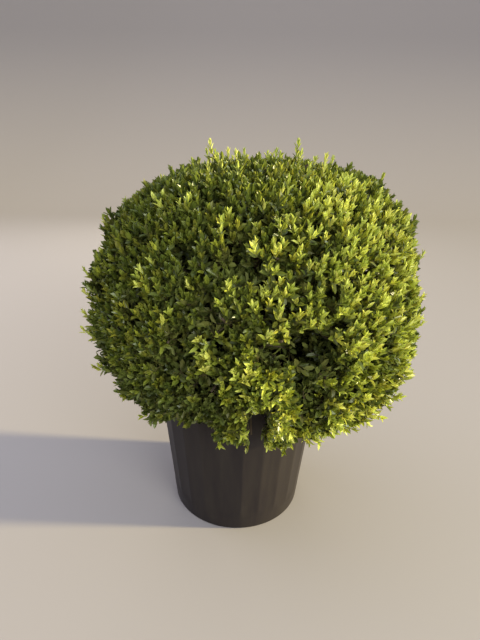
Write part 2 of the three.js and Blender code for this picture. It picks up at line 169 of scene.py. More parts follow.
# The shoots that stand out furthest, on top and then at the sides: azimuth, elevation, rise.
SPRIGS = [
    (-101, 72, 0.020), (-101, 70, -0.002), (-110, 77, -0.005), (-128, 82, -0.007),
    (155, 84, -0.012), (125, 81, -0.012), (105, 77, 0.021), (105, 75, -0.015), (95, 70, -0.016),
    (-98, 64, -0.012), (50, 56, -0.004), (-20, 66, -0.006), (-80, 30, 0.005), (-74, 14, 0.008),
    (-75, 7, 0.002), (-77, -1, 0.004), (-75, -6, 0.012), (-64, -15, 0.012), (-60, -13, 0.004),
    (-70, -27, 0.002), (-61, -28, 0.002), (-45, -28, 0.004), (-36, -30, 0.014), (79, 21, 0.004),
    (78, 7, 0.003), (71, 0, 0.004), (54, -10, 0.002), (57, -21, 0.003), (-128, 28, 0.008),
    (-162, -12, 0.010), (158, 30, 0.008), (122, -16, 0.010),
]
# A sprig at the side lifts the shoots within some degrees of it.
COMPANY_RISE = 0.022
COMPANY_SPREAD = 3.0

# Masses: where they are aimed, and how far out, of the radius, their boughs end and twigs start.
SHOULDER_ELEVATION = 40
SHOULDER_AZIMUTHS = [-41, 31, 103, 175, 247]
WAIST_ELEVATION = -6
WAIST_AZIMUTHS = [-5, 35, 80, 130, 180, 230, 275, 317]
BOUGH_SHARE = 0.4
HUB_SHARE = 0.66
LEAF_POT_GAP = 0.003
GOLDEN_ANGLE = math.pi * (3 - math.sqrt(5))
NEARLY_UPRIGHT = 0.9
RIGHT = np.array([1.0, 0, 0])
UP = np.array([0, 0, 1.0])

# Limbs.
CLEARANCE = 0.0003
TRUNK_FOOT_RADIUS = 0.027
TRUNK_TIP_RADIUS = 0.010
FLARE_WIDTH = 0.015
FLARE_HEIGHT = 0.018
FLARE_LOBES = 5
FLARE_LOBING = 0.3
# Bends of the trunk: share of its height, then where it is, to the right and to the back.
TRUNK_BENDS = [(0.3, 0.003, 0.008), (0.65, 0.026, -0.008)]
BOUGH_ROOT_RADIUS = 0.012
BOUGH_TIP_RADIUS = 0.006
BOUGH_RISE = 0.2
BOUGH_SPREAD = 0.25
WAIST_FORKS = (0.520, 0.596)
SHOULDER_FORKS = (0.618, 0.690)
FORK_STRIDE = 3
# Corners round, rings along and the relief of the bark. The trunk's curve is drawn finer first.
TRUNK_SIDES = 40
TRUNK_STEPS = 200
TRUNK_RELIEF = 0.0011
CURVE_STEPS = 60
BOUGH_SIDES = 20
BOUGH_RINGS = 40
BOUGH_RELIEF = 0.0005
# Ridges of bark: how many round a limb, how fast they wander along it, share of the relief.
BARK_RIDGES = [(5, 9, 0.35), (9, 14, 0.35), (14, 21, 0.3)]
RIDGE_WANDER = 6

# Twigs of three orders. Each order's tips are aimed evenly at the crown's surface, and jittered by
# a share of the distance between them. Spurs are short side twigs inside the crown.
TWIGS = 143
BRANCHLETS = 1250
SHOOTS = 8800
TWIG_SPURS = 2300
STEM_SPURS = 600
BRANCHLET_JITTER = 0.35
SHOOT_JITTER = 0.45
# Radius at root and tip.
STEM_TAPER = 0.8
TWIG_RADII = (0.0045, 0.0028)
BRANCHLET_RADII = (0.0024, 0.0014)
SHOOT_RADII = (0.0012, 0.0006)
# Corners round and lengths along.
STEM_GRID = (10, 6)
TWIG_GRID = (6, 8)
BRANCHLET_GRID = (4, 5)
SPUR_GRID = (3, 1)
SHOOT_GRID = (3, 2)
# Growth of the twigs: scatter of the tips, room kept for leaves, the upright ones on top, the arch.
TIP_SCATTER = 0.035
FURTHEST_LEAF = 0.050
TALL_ELEVATION = 58
TALL_REACH = 0.026
TWIG_ARCH = 0.12
# Growth of the finer orders, as shares of a length: where each leaves its parent, how far before
# its tip it bends, and which place along it has to lie clear of the hollows.
BRANCHLET_FORKS = (0.3, 0.8)
SHOOT_FORKS = (0.5, 0.95)
BEND_SHARE = 0.45
BRANCHLET_CLEAR = 0.5
SHOOT_CLEAR = 0.6
# How much the tips turn upwards, by what chance, and how far they stray sideways.
BRANCHLET_UPWARD = 0.25
UPWARD_SCATTER = 0.15
SPRIG_UPWARD = 2.2
SHOOT_STRAY = 0.6
# Spurs: where they stand on their parent, how long they are, how deep inside the crown they stay.
TWIG_SPUR_FEET = (0.05, 0.85)
STEM_SPUR_FEET = (0.05, 1)
TWIG_SPUR_LENGTH = 0.055
STEM_SPUR_LENGTH = 0.095
SPUR_VARIETY = (0.8, 1.2)
SPUR_COVER = 0.045

# How deep below the clipped surface tips end. Shoots end deeper between the clumps on branchlets
# and the bunches on twigs, in dimples and on the top, and young or long shoots stand higher.
BRANCHLET_DEPTH = 0.056
BRANCHLET_VARIETY = (0.7, 1.3)
HOLLOW_REACH = 1.2
SHOOT_DEPTH = 0.016
CLUMP_DEPTH = 0.010
CLUMP_MOST = 1.3
BUNCH_DEPTH = 0.020
BUNCH_MOST = 1.2
EVEN_TOP = 0.6
TOP_DEPTH = 0.020
FLUSH_RISE = 0.012
SHOOT_SCATTER = 0.008
LONG_REACH = 0.018
LONG_ABOVE = 0.93
SHORT_ABOVE = 0.975
SHORT_SHARE = 0.1

# Vigour of a shoot, by its branchlet, itself, a flush and the sunny side, less what a dimple, the
# shady side, the side towards the sun and the top take away. Above a level it is young. Much of this
# is painted light and shade: young, light leaves on the sunny right are painted light, fewer of them
# in dimples, on the shady left and on the top's left are painted shade, and fewer on the side towards
# the sun are painted shade that keeps that side from burning out under the key light.
BRANCHLET_VIGOUR = 0.45
OWN_VIGOUR = 0.55
FLUSH_VIGOUR = 0.30
SUNNY_SIDE = 0.15
DIMPLE_CALM_AND_SHADE = 0.25
SHADY_SIDE = 0.17
SUNWARD_CALM_AND_SHADE = 0.32
TOP_CALM = 0.9
FLUSH_LEVEL = 0.67
# The top calms more to the left than to the right; its darker leaves on the left are painted shade.
CALM_MIDDLE = 0.6
CALM_SLOPE = 1.4
CALM_LEAST = 0.45

# Ramps: start, width, and limits where they aren't 0 and 1. They follow the azimuth from the front,
# the elevation, or how far an aim points to the left or the right.
SHADY_RAMP = (0.02, 0.25)
RIGHTWARD_RAMP = (0, 0.5)
SUNWARD_RAMP = (57, 29)
SUNWARD_POWER = 1.4
SUNNY_RAMP = (100, -30, -0.5, 1)
TOP_CALM_RAMP = (45, 20)
EVEN_RAMP = (25, 35)
TOP_DEPTH_RAMP = (50, 15)
UPWARD_RAMP = (-50, 60, -0.4, 1)
SPRIG_UPWARD_RAMP = (-50, 60, 0.1, 1)

# Steps of leaf age, by clump and place, above a level. They are older in the middle of a dimple and
# a step older low on the left, both painted shade; older on the shady left and the top's left, as
# painted shade too; and older on the side towards the sun, as painted shade against the key light.
AGED_LEVEL = 1.75
CLUMP_AGED = 0.3
TOP_AGED = 2.6
SHADY_DARKENING = 0.45
SUNWARD_DARKENING = 0.95
DIMPLE_SHADE_ABOVE = 0.4
UNDERNEATH_BELOW = -0.2
UNDERNEATH_LEFT = -0.1
# How much larger leaves are on the top and in the shade, and how they stand and vary.
TOP_LEAF = 0.02
SHADE_LEAF = 0.12
LEAF_LIFT = 0.40
LEAF_TWIST = 0.25
LEAF_LEAN = 16
LEAF_LENGTHS = (0.88, 1.26)
LEAF_BREADTHS = (0.85, 1.15)
LOWEST_LEAF = 0.05
SHORTEST_SHOOT = 1e-4
NEXT_TINT_ABOVE = 0.7


def chance(number, seed):
    """A fraction from 0 to 1 that depends only on the number and the seed."""
    wave = np.sin(np.asarray(number) * 12.9898 + seed * 78.233) * 43758.5453
    return wave - np.floor(wave)


def either_way(number, seed):
    """The same chance as a fraction from -1 to 1."""
    return 2 * chance(number, seed) - 1


def any_way(number, seed):
    """A vector for each number, made of three such fractions."""
    return np.stack([either_way(number, seed + i) for i in range(3)], -1)


def unit(vectors):
    return vectors / np.linalg.norm(vectors, axis=-1, keepdims=True)


def lerp(start, end, part):
    return start + (end - start) * part


def ramped(value, start, width, low=0, high=1):
    """How far a value lies past a start, in widths, held between two limits."""
    return np.clip((value - start) / width, low, high)


def direction_at(azimuth, elevation):
    turn, rise = np.radians(azimuth), np.radians(elevation)
    return np.stack([np.cos(rise) * np.sin(turn), -np.cos(rise) * np.cos(turn), np.sin(rise)], -1)


def aims_of(rows):
    """Directions to the rows of a list, which start with azimuth and elevation."""
    return direction_at(*np.array([row[:2] for row in rows]).T)


def azimuths_of(aims):
    return np.degrees(np.arctan2(aims[:, 0], -aims[:, 1]))


def elevations_of(aims):
    return np.degrees(np.arcsin(aims[:, 2]))


def degrees_between(aims, azimuth, elevation):
    return np.degrees(np.arccos(np.clip(aims @ direction_at(azimuth, elevation), -1, 1)))


def crown_radius(direction):
    """Distance from the crown's centre to its clipped surface along a direction."""
    across = np.hypot(direction[..., 0], direction[..., 1]) / CROWN_RADIUS
    along = np.abs(direction[..., 2]) / np.where(direction[..., 2] > 0, CROWN_UP, CROWN_DOWN)
    reach = (across**CROWN_SQUARENESS + along**CROWN_SQUARENESS) ** (-1 / CROWN_SQUARENESS)
    for azimuth, elevation, spread, rise in SWELLS:
        apart = degrees_between(direction, azimuth, elevation)
        reach = reach + rise * np.exp(-((apart / spread) ** 2))
    return reach


def crown_point(direction, share=1):
    return CROWN_CENTRE + direction * (crown_radius(direction) * share)[..., None]


def pot_radius(height):
    return POT_BASE_RADIUS + POT_FLARE * height


POT_REACH = pot_radius(POT_HEIGHT) + RIM_STEP

# Masses: azimuth and elevation by name.
MASSES = {"top": (0, 90)}
MASSES |= {f"shoulder_{i}": (turn, SHOULDER_ELEVATION) for i, turn in enumerate(SHOULDER_AZIMUTHS, 1)}
MASSES |= {f"waist_{i}": (turn, WAIST_ELEVATION) for i, turn in enumerate(WAIST_AZIMUTHS, 1)}
MASS_DIRECTIONS = aims_of(MASSES.values())
MASS_HUBS = crown_point(MASS_DIRECTIONS, HUB_SHARE)


def fork_heights(count, forks):
    """Heights at which a ring of boughs leaves the trunk, neighbours well apart."""
    return [lerp(*forks, ((i * FORK_STRIDE) % count) / (count - 1)) for i in range(count)]


BOUGH_FORKS = [
    *fork_heights(len(SHOULDER_AZIMUTHS), SHOULDER_FORKS),
    *fork_heights(len(WAIST_AZIMUTHS), WAIST_FORKS),
]


def notch_pockets(first, last, radius, depth):
    """The row of pockets that cuts one notch."""
    parts = np.linspace(0, 1, POCKETS_A_NOTCH)
    return [(*lerp(np.array(first), np.array(last), part), radius, depth) for part in parts]


HOLLOW_CENTRES = crown_point(aims_of(HOLLOWS))
HOLLOW_RADII = np.array([hollow[2] for hollow in HOLLOWS])
HOLLOW_AIMS = unit(HOLLOW_CENTRES - CROWN_CENTRE)
ALL_POCKETS = [
    *POCKETS,
    *[(*gap, GAP_DEPTH) for gap in GAPS],
    *[pocket for notch in NOTCHES for pocket in notch_pockets(*notch)],
]
POCKET_AIMS = aims_of(ALL_POCKETS)
POCKET_RADII = np.array([pocket[2] for pocket in ALL_POCKETS])
POCKET_FLOORS = crown_radius(POCKET_AIMS) - np.array([pocket[3] for pocket in ALL_POCKETS])


def clear_of_pot(point):
    above = point[..., 2] > POT_HEIGHT + LEAF_POT_GAP
    outside = np.hypot(point[..., 0], point[..., 1]) > POT_REACH + LEAF_POT_GAP
    return above | outside


def clear_of_slots(point):
    out = np.hypot(point[..., 0], point[..., 1])
    clear = np.ones(out.shape, bool)
    for azimuth, heading, half, height in SLOTS:
        foot = direction_at(azimuth, 0)[:2] * SLOT_RADIUS
        way = direction_at(heading, 0)[:2]
        offset = point[..., :2] - foot
        aside = np.abs(offset[..., 0] * way[1] - offset[..., 1] * way[0])
        ahead = (point[..., :2] * way).sum(-1) > 0
        low = point[..., 2] < height + SLOT_RISE * (out - SLOT_RADIUS)
        clear &= ~(ahead & low & (aside < half))
    return clear


def clear_of_pockets(point):
    offset = point - CROWN_CENTRE
    outward = offset @ POCKET_AIMS.T
    aside = np.sqrt(np.clip((offset**2).sum(-1)[..., None] - outward**2, 0, None))
    return ~((aside < POCKET_RADII) & (outward > POCKET_FLOORS)).any(-1)


def leaf_may_reach(point):
    """Whether each point is clear of the pot and of every hollow, slot and pocket."""
    from_hollows = np.linalg.norm(point[..., None, :] - HOLLOW_CENTRES, axis=-1)
    clear = (from_hollows > HOLLOW_RADII * HOLLOW_SHARE).all(-1)
    return clear & clear_of_pot(point) & clear_of_slots(point) & clear_of_pockets(point)


def spread_aims(count, jitter):
    """Directions on a spiral all over a ball, each moved a little by chance."""
    number = np.arange(count)
    height = 1 - (2 * number + 1) / count
    turn = number * GOLDEN_ANGLE
    across = np.sqrt(1 - height * height)
    aim = np.stack([across * np.cos(turn), across * np.sin(turn), height], -1)
    apart = math.sqrt(4 * math.pi / count) * jitter
    return unit(aim + any_way(number, 11) * apart)


class Curves(NamedTuple):
    """Quadratic curves, each from a start past a bend to an end."""

    start: np.ndarray
    bend: np.ndarray
    end: np.ndarray

    def at(self, part):
        part = np.asarray(part)[..., None]
        return lerp(lerp(self.start, self.bend, part), lerp(self.bend, self.end, part), part)

    def heading(self, part):
        part = np.asarray(part)[..., None]
        return unit(lerp(self.bend - self.start, self.end - self.bend, part))

    def chosen(self, index):
        return Curves(*(points[index] for points in self))


# Meshes.
def add_object(name, data):
    made = bpy.data.objects.new(name, data)
    bpy.context.scene.collection.objects.link(made)
    return made


def mesh_object(name, points, faces, materials, face_materials=None, smooth=True):
    """A mesh of triangles or quads, with a material for each face."""
    mesh = bpy.data.meshes.new(name)
    sides = faces.shape[1]
    mesh.vertices.add(len(points))
    mesh.vertices.foreach_set("co", np.ascontiguousarray(points, np.float32).ravel())
    mesh.loops.add(faces.size)
    mesh.loops.foreach_set("vertex_index", np.ascontiguousarray(faces, np.int32).ravel())
    mesh.polygons.add(len(faces))
    mesh.polygons.foreach_set("loop_start", np.arange(0, faces.size, sides, dtype=np.int32))
    for material in materials:
        mesh.materials.append(material)
    if face_materials is not None:
        mesh.polygons.foreach_set("material_index", np.ascontiguousarray(face_materials, np.int32))
    mesh.update(calc_edges=True)
    mesh.validate()
    mesh.polygons.foreach_set("use_smooth", np.full(len(mesh.polygons), smooth))
    return add_object(name, mesh)


def joined(parts):
    """Points and faces of several meshes as one mesh."""
    starts = np.cumsum([0, *[len(points) for points, _ in parts[:-1]]])
    moved = [faces + start for (_, faces), start in zip(parts, starts)]
    return np.concatenate([points for points, _ in parts]), np.concatenate(moved)


def turns(steps):
    """Angles spread evenly round a circle."""
    return np.arange(steps) * (2 * np.pi / steps)


def frame_along(direction):
    """Two directions square to each given one and to each other."""
    upright = np.abs(direction[..., 2:]) >= NEARLY_UPRIGHT
    side = unit(np.cross(np.where(upright, RIGHT, UP), direction))
    return side, np.cross(direction, side)


def spokes(heading, sides):
    """Directions square to each heading, evenly round it."""
    side, front = frame_along(heading)
    turn = turns(sides)[None, :, None]
    return np.cos(turn) * side[:, None] + np.sin(turn) * front[:, None]


def quad_corners(rings, sides):
    """The four points of each quad between rings of points, by number, in four arrays."""
    ring, corner = np.meshgrid(np.arange(rings - 1), np.arange(sides), indexing="ij")
    low, after = ring * sides, (corner + 1) % sides
    return low + corner, low + after, low + sides + after, low + sides + corner


def limb_faces(rings, sides):
    """Triangles round a limb of some rings, closed at both ends."""
    a, b, c, d = quad_corners(rings, sides)
    walls = [np.stack(corners, -1).reshape(-1, 3) for corners in ((a, b, c), (a, c, d))]
    fan = np.array([[0, i + 2, i + 1] for i in range(sides - 2)])
    return np.concatenate([*walls, fan, fan[:, ::-1] + (rings - 1) * sides])


def tubes(curves, radii, sides, lengths):
    """Points and triangles of many tapering limbs at once."""
    count = len(curves.start)
    points = []
    for ring in range(lengths + 1):
        part = np.full(count, ring / lengths)
        radius = lerp(*radii, part)[:, None, None]
        points.append(curves.at(part)[:, None] + radius * spokes(curves.heading(part), sides))
    starts = np.arange(count)[:, None, None] * ((lengths + 1) * sides)
    faces = limb_faces(lengths + 1, sides)[None] + starts
    return np.stack(points, 1).reshape(-1, 3), faces.reshape(-1, 3)


# Materials.
NOISE_DETAIL = 6
NOISE_ROUGHNESS = 0.6
RELIEF_HEIGHT = 0.001


def linear(colour):
    """A colour in the 0 to 255 steps of a screen, as opaque linear light."""
    steps = [c / 255 for c in colour]
    return *(c / 12.92 if c <= 0.04045 else ((c + 0.055) / 1.055) ** 2.4 for c in steps), 1


def plain_material(name, colour, roughness, shine):
    material = bpy.data.materials.new(name)
    material.use_nodes = True
    shader = material.node_tree.nodes["Principled BSDF"]
    shader.inputs["Base Color"].default_value = linear(colour)
    shader.inputs["Roughness"].default_value = roughness
    shader.inputs["Specular IOR Level"].default_value = shine
    material.diffuse_color = linear(colour)
    return material


def ramp_between(nodes, stops):
    ramp = nodes.new("ShaderNodeValToRGB")
    while len(ramp.color_ramp.elements) < len(stops):
        ramp.color_ramp.elements.new(0.5)
    for element, (place, colour) in zip(ramp.color_ramp.elements, stops):
        element.position = place
        element.color = linear(colour)
    return ramp


def add_node(nodes, kind, values):
    """A new shader node with some of its inputs set."""
    node = nodes.new("ShaderNode" + kind)
    for name, value in values.items():
        node.inputs[name].default_value = value
    return node


def patterned_material(name, stops, scale, stretch, roughness, bump, shine):
    """A material whose colour, roughness and relief follow a noise, stretched along Z."""
    material = plain_material(name, stops[0][1], roughness[0], shine)
    nodes = material.node_tree.nodes
    shader = nodes["Principled BSDF"]
    place = add_node(nodes, "TexCoord", {})
    mapping = add_node(nodes, "Mapping", {"Scale": (1, 1, stretch)})
    detail = {"Scale": scale, "Detail": NOISE_DETAIL, "Roughness": NOISE_ROUGHNESS}
    noise = add_node(nodes, "TexNoise", detail)
    ramp = ramp_between(nodes, stops)
    dullness = add_node(nodes, "MapRange", {"To Min": roughness[0], "To Max": roughness[1]})
    relief = add_node(nodes, "Bump", {"Strength": bump, "Distance": RELIEF_HEIGHT})
    for giver, output, taker, entry in (
        (place, "Object", mapping, "Vector"),
        (mapping, "Vector", noise, "Vector"),
        (noise, "Fac", ramp, "Fac"),
        (ramp, "Color", shader, "Base Color"),
        (noise, "Fac", dullness, "Value"),
        (dullness, "Result", shader, "Roughness"),
        (noise, "Fac", relief, "Height"),
        (relief, "Normal", shader, "Normal"),
    ):
        material.node_tree.links.new(giver.outputs[output], taker.inputs[entry])
    return material


# Leaves by age: young tips, fresh, mature, old, inner. Each age has four tints and one shine.
LEAF_TINTS = [
    [(226, 231, 112), (200, 208, 92), (176, 187, 76), (216, 216, 102)],
    [(180, 185, 63), (154, 161, 53), (130, 140, 45), (170, 168, 57)],
    [(136, 145, 50), (114, 124, 44), (94, 106, 38), (130, 132, 46)],
    [(116, 125, 55), (98, 108, 47), (81, 91, 39), (106, 110, 49)],
    [(118, 124, 57), (101, 108, 49), (85, 93, 42), (109, 110, 51)],
]
LEAF_SHINE = [0.6, 0.6, 0.55, 0.4, 0.22]
LEAF_ROUGHNESS = 0.31
AGES = len(LEAF_TINTS)
TINTS = len(LEAF_TINTS[0])
leaf_materials = [
    plain_material(f"leaf_{age}_{tint}", colour, LEAF_ROUGHNESS, LEAF_SHINE[age])
    for age, tints in enumerate(LEAF_TINTS)
    for tint, colour in enumerate(tints)
]
wood_materials = [
    plain_material("branchlet_bark", (78, 66, 48), roughness=0.8, shine=0.3),
    plain_material("shoot_bark", (112, 104, 54), roughness=0.6, shine=0.4),
]
OLD_WOOD = 0
YOUNG_WOOD = 1
bark_material = patterned_material(
    "bark",
    [(0.3, (70, 54, 42)), (0.5, (112, 88, 68)), (0.75, (150, 126, 104))],
    scale=120,
    stretch=0.12,
    roughness=(0.75, 0.95),
    bump=0.5,
    shine=0.3,
)
pot_material = patterned_material(
    "black_plastic",
    [(0.3, (43, 38, 37)), (0.7, (52, 47, 42))],
    scale=36,
    stretch=0.10,
    roughness=(0.40, 0.46),
    bump=0.06,
    shine=0.12,
)
mix_material = patterned_material(
    "potting_mix",
    [(0.3, (34, 24, 18)), (0.55, (70, 50, 36)), (0.75, (104, 80, 58))],
    scale=180,
    stretch=1,
    roughness=(0.9, 1.0),
    bump=0.8,
    shine=0.2,
)
floor_material = plain_material("pale_floor", (172, 165, 156), roughness=0.9, shine=0.2)


# Twigs: the source's own twigs first, then two finer orders that grow on from them.
def masses_of(aims):
    return np.argmax(aims @ MASS_DIRECTIONS.T, -1)


def nearest_parent(aims, own, parent_aims, parent_own):
    """For each aim, the parent in its mass that is aimed nearest, and how far apart they are."""
    nearness = aims @ parent_aims.T
    nearness[own[:, None] != parent_own[None, :]] = -2
    parent = np.argmax(nearness, -1)
    return parent, np.arccos(np.clip(nearness[np.arange(len(aims)), parent], -1, 1))


def far_from_parent(apart, count, most):
    """From 0 at a parent's aim to 1 at the edge of its share of the ball, and on to a limit."""
    return np.minimum(apart / math.sqrt(4 / count), most) ** 2


def grown_from(parents, parent, tip, forks, upward, stray, seed):
    """Curves from a place on each parent to a tip, turning outwards and up, each straying a little."""
    number = np.arange(len(tip))
    start = parents.chosen(parent).at(lerp(*forks, chance(number, seed)))
    strayed = any_way(number, seed + 101) * np.asarray(stray)[..., None]
    finish = unit(unit(tip - CROWN_CENTRE) + strayed + UP * np.asarray(upward)[..., None])
    length = np.linalg.norm(tip - start, axis=-1)[:, None]
    return Curves(start, tip - finish * length * BEND_SHARE, tip)


def hollowed(aims):
    """How much deeper the branchlets end where the crown is hollow."""
    apart = np.arccos(np.clip(aims @ HOLLOW_AIMS.T, -1, 1)) * CROWN_RADIUS
    floor = np.sqrt(np.clip(HOLLOW_REACH - (apart / HOLLOW_RADII) ** 2, 0, 1))
    return (HOLLOW_RADII * floor).max(-1)


def dimpled(aims):
    """How deep in a dimple each aim lies, from 0 outside to 1 in its middle."""
    more = spread_aims(MORE_DIMPLES, DIMPLE_JITTER)
    azimuth = azimuths_of(more)
    radius = lerp(*DIMPLE_RADII, chance(np.arange(MORE_DIMPLES), 61))
    unseen = (np.abs(azimuth) > FRONT_AZIMUTH) | (more[:, 2] > FRONT_TOP)
    rows = np.stack([azimuth, elevations_of(more), radius], -1)[unseen]
    deepest = np.zeros(len(aims))
    for azimuth, elevation, radius in [*FRONT_DIMPLES, *rows]:
        apart = np.radians(degrees_between(aims, azimuth, elevation)) * CROWN_RADIUS
        fall = DIMPLE_STEEPNESS * (apart / (DIMPLE_REACH * radius)) ** 2
        deepest = np.maximum(deepest, np.clip(DIMPLE_STEEPNESS - fall, 0, 1))
    return deepest


def flushed(aims):
    """How near each aim is to the middle of a flush of young shoots."""
    found = np.zeros(len(aims))
    for azimuth, elevation, spread in FLUSHES:
        found = np.maximum(found, np.exp(-((degrees_between(aims, azimuth, elevation) / spread) ** 2)))
    return found


def spurs_on(parents, own, count, feet, length, seed):
    """Short leafy side twigs in all directions, which close the crown's inside."""
    number = np.arange(count)
    parent = (chance(number, seed) * len(own)).astype(int)
    foot = parents.chosen(parent).at(lerp(*feet, chance(number, seed + 1)))
    reach = length * lerp(*SPUR_VARIETY, chance(number, seed + 5))
    tip = foot + unit(any_way(number, seed + 2)) * reach[:, None]
    offset = tip - CROWN_CENTRE
    covered = np.linalg.norm(offset, axis=-1) < crown_radius(unit(offset)) - SPUR_COVER
    kept = covered & leaf_may_reach(tip) & leaf_may_reach(foot)
    return Curves(foot, lerp(foot, tip, 0.5), tip).chosen(kept), own[parent][kept]


def twig_curves():
    """The source's twigs: their aims, masses and curves."""
    number = np.arange(TWIGS)
    aims = spread_aims(TWIGS, 0)
    own = masses_of(aims)
    tall = np.where(elevations_of(aims) > TALL_ELEVATION, TALL_REACH * chance(number, 2), 0)
    furthest = crown_point(aims, 1 + TIP_SCATTER * either_way(number, 1)) + aims * tall[:, None]
    hub = MASS_HUBS[own]
    tip = furthest - unit(furthest - hub) * FURTHEST_LEAF
    bend = lerp(hub, tip, 0.5)
    bend[:, 2] += TWIG_ARCH * np.linalg.norm(tip - hub, axis=-1)
    return aims, own, Curves(hub, bend, tip)


twig_aims, twig_own, twigs = twig_curves()
stem_feet = crown_point(MASS_DIRECTIONS, BOUGH_SHARE) + MASS_DIRECTIONS * CLEARANCE
stems = Curves(stem_feet, lerp(stem_feet, MASS_HUBS, 0.5), MASS_HUBS)
stem_own = np.arange(len(MASSES))
spur_kinds = [
    spurs_on(twigs, twig_own, TWIG_SPURS, TWIG_SPUR_FEET, TWIG_SPUR_LENGTH, 71),
    spurs_on(stems, stem_own, STEM_SPURS, STEM_SPUR_FEET, STEM_SPUR_LENGTH, 81),
]
spurs = Curves(*map(np.concatenate, zip(*(curves for curves, _ in spur_kinds))))
spur_own = np.concatenate([own for _, own in spur_kinds])

# Branchlets.
number = np.arange(BRANCHLETS)
branchlet_aims = spread_aims(BRANCHLETS, BRANCHLET_JITTER)
branchlet_own = masses_of(branchlet_aims)
parent, _ = nearest_parent(branchlet_aims, branchlet_own, twig_aims, twig_own)
depth = BRANCHLET_DEPTH * lerp(*BRANCHLET_VARIETY, chance(number, 21)) + hollowed(branchlet_aims)
tip = crown_point(branchlet_aims) - branchlet_aims * depth[:, None]
branchlets = grown_from(twigs, parent, tip, BRANCHLET_FORKS, BRANCHLET_UPWARD, 0, 22)
kept = leaf_may_reach(branchlets.at(BRANCHLET_CLEAR)) & leaf_may_reach(tip)
branchlet_aims = branchlet_aims[kept]
branchlet_own = branchlet_own[kept]
branchlets = branchlets.chosen(kept)

# Shoots: where they are aimed, and what is around them.
number = np.arange(SHOOTS)
shoot_aims = spread_aims(SHOOTS, SHOOT_JITTER)
shoot_own = masses_of(shoot_aims)
parent, apart = nearest_parent(shoot_aims, shoot_own, branchlet_aims, branchlet_own)
_, far_apart = nearest_parent(shoot_aims, shoot_own, twig_aims, twig_own)
clump = far_from_parent(apart, BRANCHLETS, CLUMP_MOST)
bunch = far_from_parent(far_apart, TWIGS, BUNCH_MOST)
dimple = dimpled(shoot_aims)
elevation = elevations_of(shoot_aims)
from_front = np.abs(azimuths_of(shoot_aims))
to_right = shoot_aims[:, 0].copy()
# The shady left, whose leaves are made darker as painted shade.
shady = ramped(-to_right, *SHADY_RAMP)
# How much the top calms, most on its left, where the darker leaves are painted shade.
calm_and_left_shade = np.clip(CALM_MIDDLE - CALM_SLOPE * to_right, CALM_LEAST, 1)
# The side towards the sun, whose leaves are made darker as painted shade against the key light.
sunward = ramped(from_front, *SUNWARD_RAMP) ** SUNWARD_POWER * ramped(to_right, *RIGHTWARD_RAMP)
evened = 1 - EVEN_TOP * ramped(elevation, *EVEN_RAMP)
# The lower left, whose leaves are made a step darker as painted shade.
underneath_painted_shade = (shoot_aims[:, 2] < UNDERNEATH_BELOW) & (to_right < UNDERNEATH_LEFT)

# Shoots: how vigorous they are, and how deep they end.
# Vigour carries painted light and shade: the sunny right gains young, light leaves, while dimples, the
# shady left, the top's left and the side towards the sun lose them.
vigour = (
    BRANCHLET_VIGOUR * chance(parent, 36)
    + OWN_VIGOUR * chance(number, 37)
    + FLUSH_VIGOUR * flushed(shoot_aims)
    - DIMPLE_CALM_AND_SHADE * dimple
    + SUNNY_SIDE * to_right * ramped(from_front, *SUNNY_RAMP)
    - SHADY_SIDE * shady
    - SUNWARD_CALM_AND_SHADE * sunward
    - TOP_CALM * calm_and_left_shade * ramped(elevation, *TOP_CALM_RAMP)
)
flush = vigour > FLUSH_LEVEL
depth = (
    SHOOT_DEPTH
    + CLUMP_DEPTH * clump * evened
    + BUNCH_DEPTH * bunch * evened
    + DIMPLE_DEPTH * dimple
    - FLUSH_RISE * flush
    + SHOOT_SCATTER * either_way(number, 31)
    - LONG_REACH * (chance(number, 38) > LONG_ABOVE)
    + TOP_DEPTH * ramped(elevation, *TOP_DEPTH_RAMP)
)
sprig = np.zeros(SHOOTS, bool)
for azimuth, height, rise in SPRIGS:
    away = degrees_between(shoot_aims, azimuth, height)
    depth -= COMPANY_RISE * (height < TALL_ELEVATION) * np.exp(-((away / COMPANY_SPREAD) ** 2))
    nearest = np.argmin(away)
    depth[nearest] = -rise
    sprig[nearest] = True
    shoot_aims[nearest] = direction_at(azimuth, height)
short = (elevation > TALL_ELEVATION) & (chance(number, 32) > SHORT_ABOVE) & ~sprig
depth = np.where(short, -SHORT_SHARE * TALL_REACH * chance(number, 33), depth)
tall = sprig | short
flush |= tall

# Shoots: their curves, and which lie clear of the hollows.
tip = crown_point(shoot_aims) - shoot_aims * depth[:, None]
upward = ramped(elevation, *UPWARD_RAMP) + UPWARD_SCATTER * either_way(number, 34)
upward = np.where(tall, SPRIG_UPWARD * ramped(elevation, *SPRIG_UPWARD_RAMP), upward)
stray = np.where(tall, 0, SHOOT_STRAY)
shoots = grown_from(branchlets, parent, tip, SHOOT_FORKS, upward, stray, 35)
kept = leaf_may_reach(shoots.at(SHOOT_CLEAR)) & leaf_may_reach(tip)

